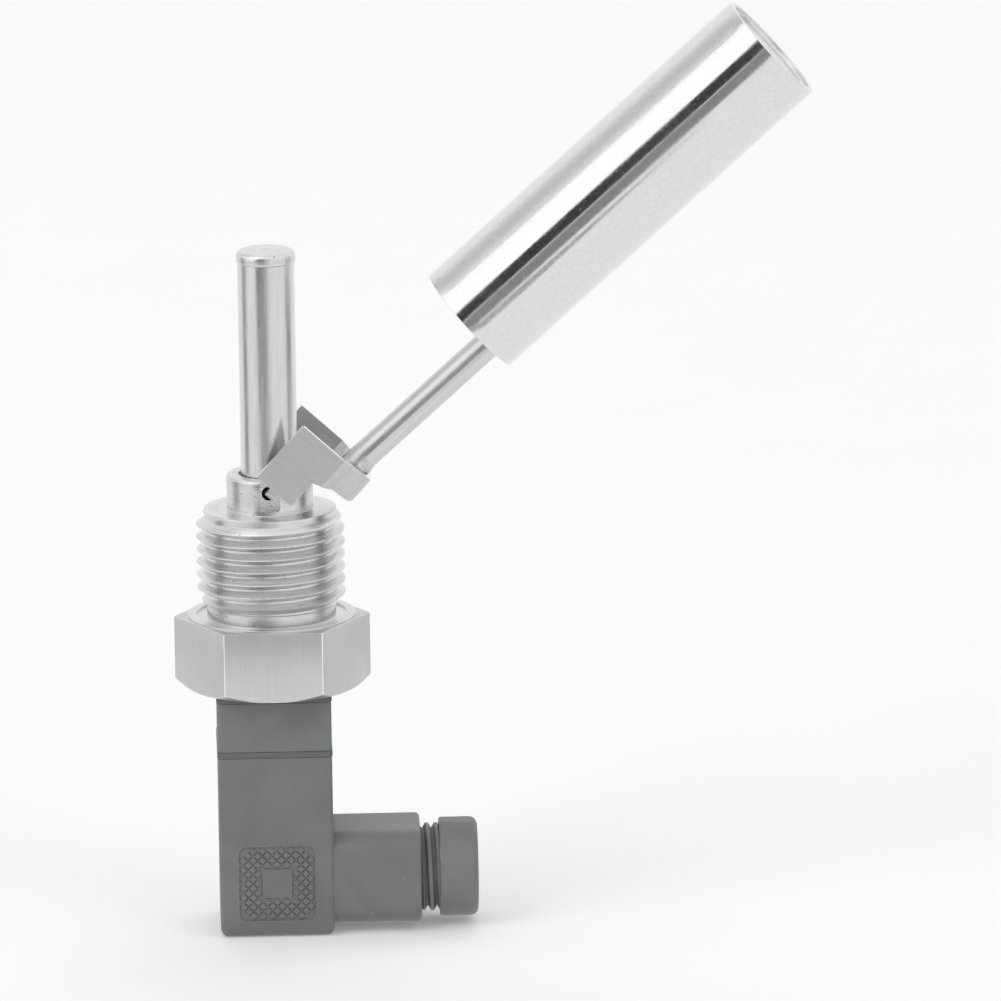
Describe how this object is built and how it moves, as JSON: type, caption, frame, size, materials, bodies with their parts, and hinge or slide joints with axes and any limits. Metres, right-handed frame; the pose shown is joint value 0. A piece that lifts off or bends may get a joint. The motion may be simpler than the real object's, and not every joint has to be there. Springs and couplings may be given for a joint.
{
  "type": "liquid level sensor",
  "caption": "Stainless float level sensor: threaded hexagon plug with a reed tube, a hinged float on a bent yoke, and a square plug-in connector with a side cable outlet.",
  "frame": {"origin": "centre of the sealing face of the threaded plug", "axes": "+Z along the reed tube, away from the hexagon; +X towards the float and the cable outlet"},
  "size_m": [0.0909, 0.024, 0.1315],
  "materials": {
    "turned_steel": "turned, satin",
    "drawn_steel": "drawn and lightly brushed",
    "sheet_steel": "rolled sheet, satin",
    "polished_steel": "polished along its length",
    "connector_plastic": "moulded, semi-gloss, fine grain",
    "seal_rubber": "moulded, matte",
    "former_plastic": "moulded, matte",
    "magnet": "sintered, dark",
    "reed_glass": "clear with a green tint",
    "contact_metal": "tinned brass",
    "wire_cover": "soft plastic cover",
    "resin": "cast resin",
    "screw_steel": "bright plated"
  },
  "bodies": {
    "sensor": {"plug_body": "turned_steel", "stem_cap": "turned_steel", "stem_tube": "drawn_steel", "reed_former": "former_plastic", "reed_glass": "reed_glass", "reed_blade_upper": "contact_metal", "reed_blade_lower": "contact_metal", "return_wire": "wire_cover", "signal_wire": "wire_cover", "potting": "resin", "base_seal": "seal_rubber", "profile_seal": "seal_rubber", "screw_seal": "seal_rubber", "gland_grommet": "seal_rubber", "connector_base": "connector_plastic", "connector_housing": "connector_plastic", "terminal_block": "connector_plastic", "gland_nut": "connector_plastic", "gland_washer": "former_plastic", "contact_tabs": "contact_metal", "earth_tab": "contact_metal", "terminal_clamps": "contact_metal", "threaded_insert": "contact_metal", "terminal_screws": "screw_steel", "fixing_screw": "screw_steel"},
    "float_arm": {"float_yoke": "sheet_steel", "float_rod": "drawn_steel", "float_tube": "polished_steel", "float_lower_cup": "polished_steel", "float_upper_cup": "polished_steel", "magnet_holder": "former_plastic", "float_magnet": "magnet"}
  },
  "joints": [
    {"name": "float_pivot", "type": "hinge", "parent": "sensor", "child": "float_arm", "pos_m": [0, 0, 0.0184], "axis": [0, -1, 0], "range_deg": [-9, 46]}
  ]
}
